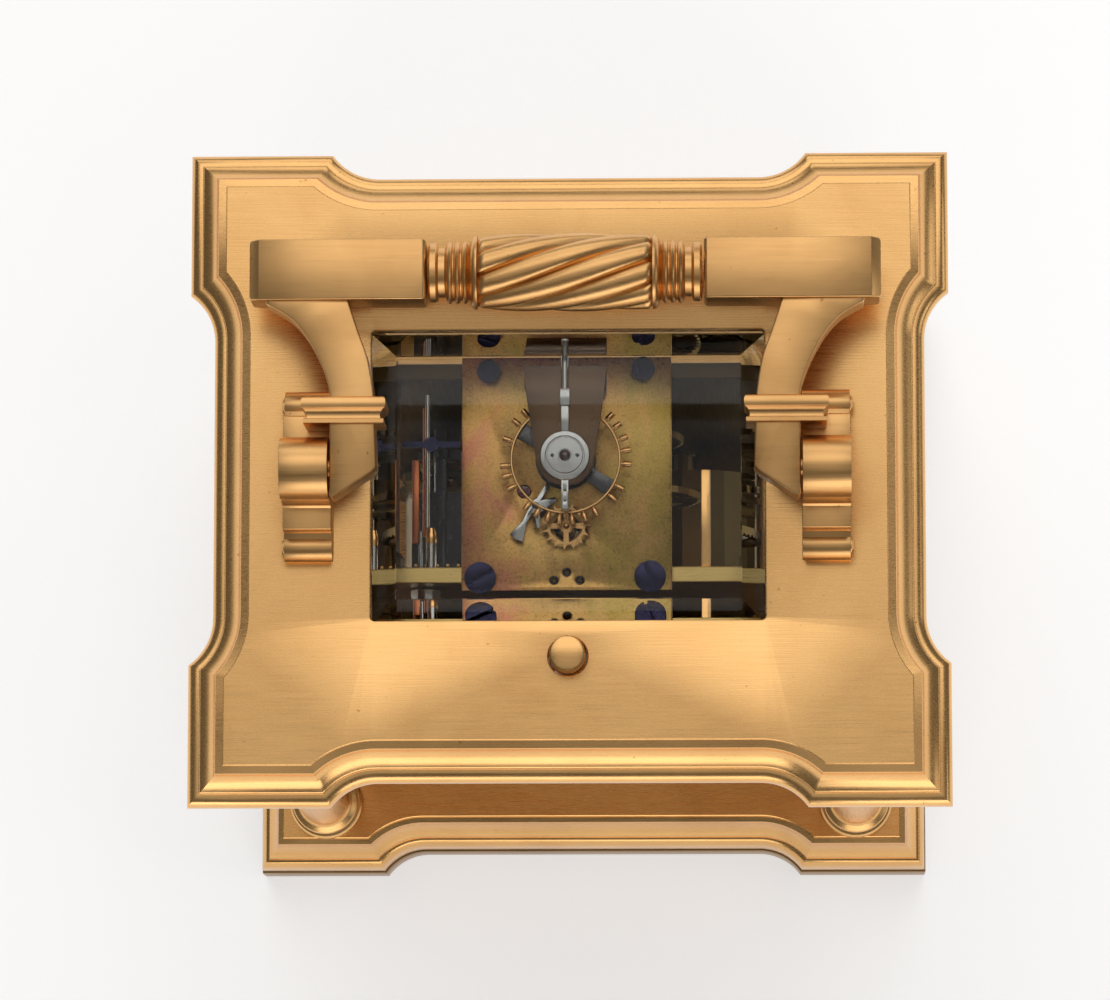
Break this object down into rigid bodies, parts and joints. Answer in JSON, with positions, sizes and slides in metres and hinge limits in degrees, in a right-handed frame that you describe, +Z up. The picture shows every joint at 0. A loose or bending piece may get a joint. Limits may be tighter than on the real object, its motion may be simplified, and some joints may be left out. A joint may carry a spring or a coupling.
{
  "type": "carriage clock",
  "caption": "Glazed brass travelling clock with a folding bail handle, columns at the corners, top window, hinged back door and a striking movement.",
  "frame": {"origin": "centre of the underside of the base", "axes": "+Z up, -Y towards the dial side, +Y towards the back door"},
  "size_m": [0.112, 0.097, 0.1672],
  "materials": {
    "gilt_brass": "gilded brass with a fine brushed grain",
    "base_brass": "gilded brass, redder in tone",
    "handle_brass": "gilded brass, satin",
    "movement_brass": "aged brass with a mottled grain",
    "balance_gold": "polished gold-coloured rim",
    "steel": "polished steel",
    "blued_steel": "heat-blued steel",
    "enamel": "white fired enamel",
    "glass": "clear bevelled glass"
  },
  "bodies": {
    "case": {"back_plate": "movement_brass", "balance_cock": "movement_brass", "base_moulding": "base_brass", "base_slab": "base_brass", "column_back_left": "gilt_brass", "column_back_right": "gilt_brass", "column_front_left": "gilt_brass", "column_front_right": "gilt_brass", "dial": "enamel", "dial_mask": "gilt_brass", "front_glass": "glass", "front_plate": "movement_brass", "gong": "blued_steel", "gong_stand": "movement_brass", "handle_bracket_left": "gilt_brass", "handle_bracket_right": "gilt_brass", "handle_screw_left": "gilt_brass", "handle_screw_right": "gilt_brass", "left_glass": "glass", "minute_wheel_stud": "steel", "pillar_lower_left": "movement_brass", "pillar_lower_right": "movement_brass", "pillar_upper_left": "movement_brass", "pillar_upper_right": "movement_brass", "platform_plate": "movement_brass", "post_back_left": "gilt_brass", "post_back_right": "gilt_brass", "post_front_left": "gilt_brass", "post_front_right": "gilt_brass", "repeat_lever_stud": "steel", "right_glass": "glass", "top_cover": "gilt_brass", "top_glass": "glass"},
    "handle": {"handle_arm_left": "handle_brass", "handle_arm_right": "handle_brass", "handle_grip": "handle_brass"},
    "door": {"door_frame": "gilt_brass", "door_glass": "glass", "door_knob": "gilt_brass"},
    "repeat_button": {"repeat_button": "gilt_brass"},
    "repeat_lever": {"repeat_lever": "steel"},
    "escape_wheel": {"escape_wheel": "movement_brass"},
    "contrate_wheel": {"contrate_wheel": "movement_brass"},
    "third_wheel": {"third_wheel": "movement_brass"},
    "centre_wheel": {"centre_wheel": "movement_brass"},
    "intermediate_wheel": {"intermediate_wheel": "movement_brass"},
    "going_barrel": {"going_barrel": "movement_brass"},
    "minute_hand": {"cannon_pinion": "steel", "minute_hand": "blued_steel"},
    "minute_wheel": {"minute_wheel": "movement_brass"},
    "hour_hand": {"hour_wheel": "movement_brass", "hour_hand": "blued_steel"},
    "strike_fly": {"strike_fly": "steel"},
    "strike_pin_wheel": {"strike_pin_wheel": "movement_brass"},
    "strike_barrel": {"strike_barrel": "movement_brass"},
    "gong_hammer": {"gong_hammer": "steel"},
    "pallet_lever": {"pallet_lever": "steel"},
    "balance": {"balance_wheel": "balance_gold", "balance_spring": "blued_steel"},
    "regulator": {"regulator_index": "steel"}
  },
  "joints": [
    {"name": "handle_fold", "type": "hinge", "parent": "case", "child": "handle", "pos_m": [0, -0.0008, 0.1615], "axis": [1, 0, 0], "range_deg": [0, 180]},
    {"name": "door_swing", "type": "hinge", "parent": "case", "child": "door", "pos_m": [0.0325, 0.0312, 0], "axis": [0, 0, -1], "range_deg": [0, 100]},
    {"name": "button_press", "type": "slide", "parent": "case", "child": "repeat_button", "axis": [0, 0, -1], "range_m": [0, 0.003], "stiffness_N_per_m": 120, "springref_m": -0.001},
    {"name": "repeat_lever_turn", "type": "hinge", "parent": "case", "child": "repeat_lever", "pos_m": [-0.022, 0, 0.1255], "axis": [0, 1, 0], "range_deg": [0, 9]},
    {"name": "escape_spin", "type": "hinge", "parent": "case", "child": "escape_wheel", "pos_m": [-0.0006, -0.0063, 0], "axis": [0, 0, 1], "continuous": true},
    {"name": "contrate_spin", "type": "hinge", "parent": "case", "child": "contrate_wheel", "pos_m": [-0.0006, 0, 0.118], "axis": [0, 1, 0], "continuous": true},
    {"name": "third_spin", "type": "hinge", "parent": "case", "child": "third_wheel", "pos_m": [0.00383, 0, 0.10159], "axis": [0, 1, 0], "continuous": true},
    {"name": "centre_spin", "type": "hinge", "parent": "case", "child": "centre_wheel", "pos_m": [0, 0, 0.084], "axis": [0, 1, 0], "continuous": true},
    {"name": "intermediate_spin", "type": "hinge", "parent": "case", "child": "intermediate_wheel", "pos_m": [0.01273, 0, 0.06923], "axis": [0, 1, 0], "continuous": true},
    {"name": "barrel_spin", "type": "hinge", "parent": "case", "child": "going_barrel", "pos_m": [0.0158, 0, 0.052], "axis": [0, 1, 0], "continuous": true},
    {"name": "minute_hand_turn", "type": "hinge", "parent": "case", "child": "minute_hand", "pos_m": [0, 0, 0.084], "axis": [0, 1, 0], "continuous": true},
    {"name": "minute_wheel_turn", "type": "hinge", "parent": "case", "child": "minute_wheel", "pos_m": [0.006, 0, 0.07361], "axis": [0, 1, 0], "continuous": true},
    {"name": "hour_hand_turn", "type": "hinge", "parent": "case", "child": "hour_hand", "pos_m": [0, 0, 0.084], "axis": [0, 1, 0], "continuous": true},
    {"name": "fly_spin", "type": "hinge", "parent": "case", "child": "strike_fly", "pos_m": [-0.02205, 0, 0.08254], "axis": [0, 1, 0], "continuous": true},
    {"name": "pin_wheel_spin", "type": "hinge", "parent": "case", "child": "strike_pin_wheel", "pos_m": [-0.01273, 0, 0.06923], "axis": [0, 1, 0], "continuous": true},
    {"name": "strike_barrel_spin", "type": "hinge", "parent": "case", "child": "strike_barrel", "pos_m": [-0.0158, 0, 0.052], "axis": [0, 1, 0], "continuous": true},
    {"name": "hammer_swing", "type": "hinge", "parent": "case", "child": "gong_hammer", "pos_m": [-0.024, 0, 0.062], "axis": [0, -1, 0], "range_deg": [0, 6], "stiffness_Nm_per_rad": 0.002, "springref_deg": -5.73},
    {"name": "lever_rock", "type": "hinge", "parent": "case", "child": "pallet_lever", "pos_m": [-0.0052, -0.0032, 0], "axis": [0, 0, 1], "range_deg": [-3, 3]},
    {"name": "balance_swing", "type": "hinge", "parent": "case", "child": "balance", "pos_m": [-0.0006, 0.0033, 0], "axis": [0, 0, 1], "range_deg": [-135, 135], "stiffness_Nm_per_rad": 0.00001},
    {"name": "regulator_turn", "type": "hinge", "parent": "case", "child": "regulator", "pos_m": [-0.0006, 0.0033, 0], "axis": [0, 0, 1], "range_deg": [-25, 25]}
  ],
  "couplings": [
    {"joint": "escape_spin", "follows": "contrate_spin", "ratio": -10},
    {"joint": "third_spin", "follows": "contrate_spin", "ratio": -0.13333},
    {"joint": "centre_spin", "follows": "contrate_spin", "ratio": 0.016667},
    {"joint": "intermediate_spin", "follows": "contrate_spin", "ratio": -0.0033333},
    {"joint": "barrel_spin", "follows": "contrate_spin", "ratio": 0.00055556},
    {"joint": "minute_wheel_turn", "follows": "minute_hand_turn", "ratio": -0.33333},
    {"joint": "hour_hand_turn", "follows": "minute_hand_turn", "ratio": 0.083333},
    {"joint": "pin_wheel_spin", "follows": "fly_spin", "ratio": -0.25},
    {"joint": "strike_barrel_spin", "follows": "fly_spin", "ratio": 0.041667},
    {"joint": "repeat_lever_turn", "follows": "button_press", "rad_per_m": 45.455}
  ]
}
